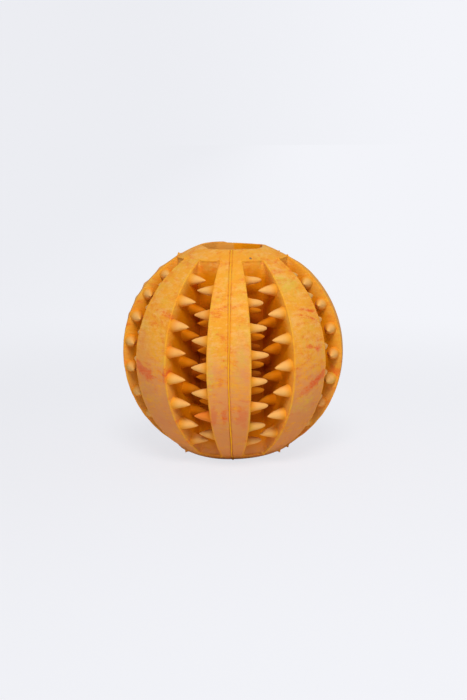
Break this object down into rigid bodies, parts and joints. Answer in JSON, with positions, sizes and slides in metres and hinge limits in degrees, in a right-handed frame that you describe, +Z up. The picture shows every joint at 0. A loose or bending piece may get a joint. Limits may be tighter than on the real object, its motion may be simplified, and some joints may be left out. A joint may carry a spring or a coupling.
{
  "type": "dog treat ball",
  "caption": "Hollow natural-rubber chew ball with meridional ribs, grooves lined with soft cone teeth, a faceted treat mouth on top and a vent in a flat base.",
  "frame": {"origin": "the ball's centre, which is also the centre of its bounding box", "axes": "+Z up through the mouth along the ball's polar axis, -Y to the front rib, +X to the right; the mould parts on the plane X = 0"},
  "size_m": [0.07, 0.07, 0.0664],
  "materials": {
    "rib_rubber": "dusty matt natural rubber, orange marbled with yellow and red",
    "tooth_rubber": "satin natural rubber, paler towards the tips",
    "core_rubber": "satin natural rubber, deeper orange where nothing wears it",
    "rim_rubber": "dusty matt natural rubber"
  },
  "bodies": {
    "root": {"mouth_rim_left": "rim_rubber", "base_rim_left": "rim_rubber", "treat_chamber_left": "core_rubber", "mouth_rim_right": "rim_rubber", "base_rim_right": "rim_rubber", "treat_chamber_right": "core_rubber", "front_rib_left_half": "rib_rubber", "front_rib_right_half": "rib_rubber", "front_rib_left_teeth": "tooth_rubber", "front_rib_right_teeth": "tooth_rubber", "front_right_rib": "rib_rubber", "front_right_rib_left_teeth": "tooth_rubber", "front_right_rib_right_teeth": "tooth_rubber", "right_rib": "rib_rubber", "right_rib_left_teeth": "tooth_rubber", "right_rib_right_teeth": "tooth_rubber", "back_right_rib": "rib_rubber", "back_right_rib_left_teeth": "tooth_rubber", "back_right_rib_right_teeth": "tooth_rubber", "back_rib_left_half": "rib_rubber", "back_rib_right_half": "rib_rubber", "back_rib_left_teeth": "tooth_rubber", "back_rib_right_teeth": "tooth_rubber", "back_left_rib": "rib_rubber", "back_left_rib_left_teeth": "tooth_rubber", "back_left_rib_right_teeth": "tooth_rubber", "left_rib": "rib_rubber", "left_rib_left_teeth": "tooth_rubber", "left_rib_right_teeth": "tooth_rubber", "front_left_rib": "rib_rubber", "front_left_rib_left_teeth": "tooth_rubber", "front_left_rib_right_teeth": "tooth_rubber"}
  },
  "joints": []
}
